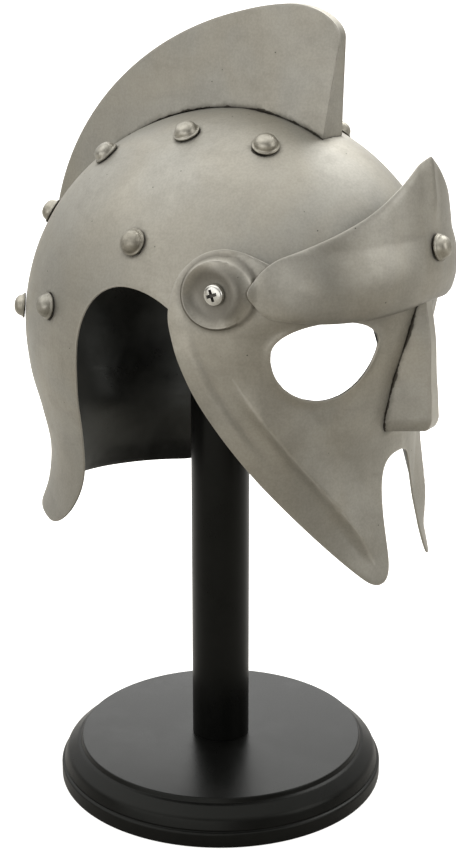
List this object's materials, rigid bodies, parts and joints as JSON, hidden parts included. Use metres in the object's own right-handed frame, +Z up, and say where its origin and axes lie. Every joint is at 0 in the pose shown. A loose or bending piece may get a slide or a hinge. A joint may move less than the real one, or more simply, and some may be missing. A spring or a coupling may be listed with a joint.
{
  "type": "gladiator helmet on display stand",
  "caption": "Steel gladiator helmet with keeled crest, neck guard and a face mask that tips on temple screws, on a black turned display stand.",
  "frame": {"origin": "centre of the stand base's underside", "axes": "+Z up, the helmet faces -Y, +X to the wearer's left"},
  "size_m": [0.207, 0.2679, 0.4685],
  "materials": {
    "steel": "satin hand-worked steel with soft clouding",
    "stud": "satin steel with dark edges",
    "screw": "bright nickel plate",
    "stand_black": "satin black paint"
  },
  "bodies": {
    "helmet": {"stand_base": "stand_black", "stand_post": "stand_black", "skull": "steel", "crest": "steel", "pivot_screw_left": "screw", "pivot_screw_right": "screw", "stud_crest_left_1": "stud", "stud_crest_left_2": "stud", "stud_crest_left_3": "stud", "stud_crest_left_4": "stud", "stud_rim_left_1": "stud", "stud_rim_left_2": "stud", "stud_rim_left_3": "stud", "stud_crest_right_1": "stud", "stud_crest_right_2": "stud", "stud_crest_right_3": "stud", "stud_crest_right_4": "stud", "stud_rim_right_1": "stud", "stud_rim_right_2": "stud", "stud_rim_right_3": "stud"},
    "mask": {"face_mask": "steel", "brow_guard": "steel", "nose_guard": "steel", "stud_brow_centre": "stud"}
  },
  "joints": [
    {"name": "mask_tilt", "type": "hinge", "parent": "helmet", "child": "mask", "pos_m": [0, -0.06, 0.328], "axis": [-1, 0, 0], "range_deg": [-15, 35]}
  ]
}
